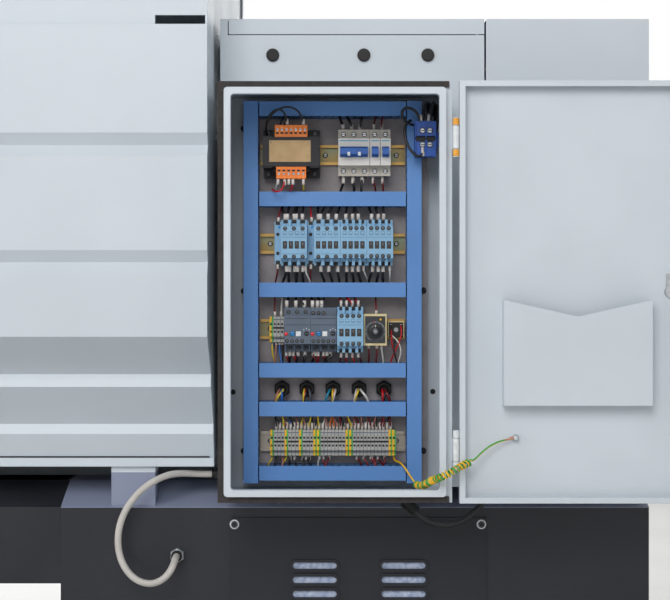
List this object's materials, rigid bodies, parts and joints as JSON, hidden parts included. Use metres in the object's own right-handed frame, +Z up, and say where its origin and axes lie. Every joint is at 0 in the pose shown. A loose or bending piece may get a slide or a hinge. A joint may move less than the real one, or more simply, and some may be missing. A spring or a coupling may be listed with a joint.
{
  "type": "cnc turning lathe",
  "caption": "Flat-bed CNC turning lathe with full guards, sliding front door, chuck, tool turret and tailstock, its rear electrical cabinet open on wired devices.",
  "frame": {"origin": "centre of the four floor anchor holes, on the floor", "axes": "+X along the spindle from headstock to tailstock, +Y to the rear where the electrical cabinet is, +Z up"},
  "size_m": [2.2324, 1.1338, 1.65],
  "materials": {
    "charcoal_base_paint": "satin charcoal enamel with a fine hammered texture on the shoulders",
    "cover_charcoal": "satin charcoal enamel on pressed sheet",
    "filter_mesh": "pale blue-grey filter mat",
    "pad_iron": "bare dark cast iron",
    "light_grey_sheet": "semi-gloss light grey powder coat",
    "cabinet_paint": "semi-gloss light grey powder coat",
    "control_box_paint": "satin dark grey enamel",
    "machine_iron": "painted castings with ground ways",
    "bright_steel": "ground and polished steel",
    "motor_paint": "satin black enamel",
    "belt_rubber": "matt black rubber",
    "black_rubber": "matt black rubber",
    "gasket_sponge": "dark brown-black cellular sponge",
    "window_glass": "clear laminated pane",
    "stop_red": "glossy red plastic",
    "knob_black": "matt black plastic",
    "galvanised_plate": "dull galvanised steel",
    "duct_blue": "mid-blue rigid plastic",
    "yellow_zinc": "yellow passivated zinc",
    "transformer_black": "black varnished laminations",
    "breaker_grey": "warm light grey moulding",
    "toggle_blue": "glossy blue plastic",
    "contactor_blue": "pale blue moulding",
    "relay_slate": "slate grey moulding",
    "timer_cream": "cream moulding with a dark face",
    "dial_black": "dark plastic dial",
    "terminal_grey": "light grey polyamide",
    "supply_blue": "blue moulding",
    "gland_black": "black polyamide",
    "lock_zinc": "die-cast zinc",
    "earth_yellow_green": "yellow and green striped insulation",
    "conduit_grey": "warm grey corrugated conduit"
  },
  "bodies": {
    "machine": {"levelling_pads": "pad_iron", "headstock_pedestal": "charcoal_base_paint", "tailstock_pedestal": "charcoal_base_paint", "chip_pan": "charcoal_base_paint", "rear_access_cover": "cover_charcoal", "louvre_filter": "filter_mesh", "bed": "machine_iron", "headstock": "machine_iron", "headstock_cover": "light_grey_sheet", "headstock_lid": "light_grey_sheet", "cover_plugs": "black_rubber", "end_cover": "light_grey_sheet", "spindle_motor": "motor_paint", "drive_belt": "belt_rubber", "feed_motor": "motor_paint", "rear_guard": "light_grey_sheet", "guard_hood": "light_grey_sheet", "tail_end_guard": "light_grey_sheet", "front_apron": "light_grey_sheet", "control_box": "control_box_paint", "cabinet_body": "cabinet_paint", "cabinet_gasket": "gasket_sponge", "mounting_plate": "galvanised_plate", "wiring_ducts": "duct_blue", "din_rails": "yellow_zinc", "control_transformer": "transformer_black", "breakers": "breaker_grey", "contactors": "contactor_blue", "overload_relays": "relay_slate", "timer_relay": "timer_cream", "terminal_blocks": "terminal_grey", "supply_block": "supply_blue", "cable_glands": "gland_black", "earth_lead": "earth_yellow_green", "conduit": "conduit_grey", "cabinet_cable": "black_rubber"},
    "spindle": {"spindle": "bright_steel", "chuck_body": "bright_steel"},
    "jaw_1": {"chuck_jaw_1": "bright_steel"},
    "jaw_2": {"chuck_jaw_2": "bright_steel"},
    "jaw_3": {"chuck_jaw_3": "bright_steel"},
    "motor_pulley": {"motor_pulley": "bright_steel"},
    "saddle": {"saddle": "machine_iron"},
    "cross_slide": {"cross_slide": "machine_iron"},
    "turret": {"tool_turret": "bright_steel"},
    "feed_screw": {"feed_screw": "bright_steel"},
    "tailstock": {"tailstock": "machine_iron"},
    "quill": {"tailstock_quill": "bright_steel"},
    "tail_wheel": {"tailstock_handwheel": "bright_steel"},
    "front_door": {"sliding_door": "light_grey_sheet", "door_window": "window_glass"},
    "stop_button": {"emergency_stop": "stop_red"},
    "feed_knob": {"feed_knob": "knob_black"},
    "pulse_wheel": {"pulse_handwheel": "knob_black"},
    "cabinet_door": {"cabinet_door": "cabinet_paint"},
    "door_lock": {"door_lock": "lock_zinc"},
    "main_toggle": {"main_breaker_toggle": "toggle_blue"},
    "toggle_1": {"breaker_toggle_1": "toggle_blue"},
    "toggle_2": {"breaker_toggle_2": "toggle_blue"},
    "timer_dial": {"timer_dial": "dial_black"}
  },
  "joints": [
    {"name": "cabinet_door_hinge", "type": "hinge", "parent": "machine", "child": "cabinet_door", "pos_m": [-0.7427, 0.566, 0.895], "axis": [0, 0, -1], "range_deg": [0, 180], "deforming": ["earth_lead"]},
    {"name": "door_lock_turn", "type": "hinge", "parent": "cabinet_door", "child": "door_lock", "pos_m": [-1.0964, 0.55, 0.895], "axis": [0, 1, 0], "range_deg": [0, 90]},
    {"name": "main_breaker_switch", "type": "hinge", "parent": "machine", "child": "main_toggle", "pos_m": [-0.5775, 0.4415, 1.13484], "axis": [1, 0, 0], "range_deg": [-30, 30]},
    {"name": "breaker_1_switch", "type": "hinge", "parent": "machine", "child": "toggle_1", "pos_m": [-0.6135, 0.4415, 1.13484], "axis": [1, 0, 0], "range_deg": [-30, 30]},
    {"name": "breaker_2_switch", "type": "hinge", "parent": "machine", "child": "toggle_2", "pos_m": [-0.6315, 0.4415, 1.13484], "axis": [1, 0, 0], "range_deg": [-30, 30]},
    {"name": "timer_dial_turn", "type": "hinge", "parent": "machine", "child": "timer_dial", "pos_m": [-0.614, 0.4415, 0.82752], "axis": [0, 1, 0], "range_deg": [0, 270]},
    {"name": "spindle_spin", "type": "hinge", "parent": "machine", "child": "spindle", "pos_m": [0, 0, 1.08], "axis": [1, 0, 0], "continuous": true},
    {"name": "motor_spin", "type": "hinge", "parent": "machine", "child": "motor_pulley", "pos_m": [0, 0, 0.3], "axis": [1, 0, 0], "continuous": true},
    {"name": "jaw_1_slide", "type": "slide", "parent": "spindle", "child": "jaw_1", "axis": [0, 0, 1], "range_m": [-0.01, 0.01]},
    {"name": "jaw_2_slide", "type": "slide", "parent": "spindle", "child": "jaw_2", "axis": [0, -0.866, -0.5], "range_m": [-0.01, 0.01]},
    {"name": "jaw_3_slide", "type": "slide", "parent": "spindle", "child": "jaw_3", "axis": [0, 0.866, -0.5], "range_m": [-0.01, 0.01]},
    {"name": "saddle_slide", "type": "slide", "parent": "machine", "child": "saddle", "axis": [1, 0, 0], "range_m": [-0.195, 0.31]},
    {"name": "feed_screw_spin", "type": "hinge", "parent": "machine", "child": "feed_screw", "pos_m": [0, -0.215, 0.8], "axis": [1, 0, 0], "continuous": true},
    {"name": "cross_slide_travel", "type": "slide", "parent": "saddle", "child": "cross_slide", "axis": [0, 1, 0], "range_m": [-0.06, 0.075]},
    {"name": "turret_index", "type": "hinge", "parent": "cross_slide", "child": "turret", "pos_m": [0.15, -0.2, 1.0306], "axis": [0, 0, 1], "continuous": true},
    {"name": "tailstock_slide", "type": "slide", "parent": "machine", "child": "tailstock", "axis": [1, 0, 0], "range_m": [-0.25, 0.06]},
    {"name": "tail_wheel_turn", "type": "hinge", "parent": "tailstock", "child": "tail_wheel", "pos_m": [0, 0, 1.08], "axis": [-1, 0, 0], "range_deg": [0, 7200]},
    {"name": "quill_slide", "type": "slide", "parent": "tailstock", "child": "quill", "axis": [-1, 0, 0], "range_m": [0, 0.1]},
    {"name": "front_door_slide", "type": "slide", "parent": "machine", "child": "front_door", "axis": [1, 0, 0], "range_m": [0, 0.58]},
    {"name": "emergency_stop_push", "type": "slide", "parent": "machine", "child": "stop_button", "axis": [0, 1, 0], "range_m": [0, 0.005], "stiffness_N_per_m": 600},
    {"name": "feed_knob_turn", "type": "hinge", "parent": "machine", "child": "feed_knob", "pos_m": [-0.54, -0.484, 1.01], "axis": [0, 1, 0], "range_deg": [-135, 135]},
    {"name": "pulse_wheel_spin", "type": "hinge", "parent": "machine", "child": "pulse_wheel", "pos_m": [-0.69, -0.484, 1.03], "axis": [0, 1, 0], "continuous": true}
  ],
  "couplings": [
    {"joint": "motor_spin", "follows": "spindle_spin", "ratio": 1.6429},
    {"joint": "jaw_2_slide", "follows": "jaw_1_slide", "ratio": 1},
    {"joint": "jaw_3_slide", "follows": "jaw_1_slide", "ratio": 1},
    {"joint": "feed_screw_spin", "follows": "saddle_slide", "rad_per_m": 628.32},
    {"joint": "quill_slide", "follows": "tail_wheel_turn", "m_per_rad": 0.00079577}
  ]
}
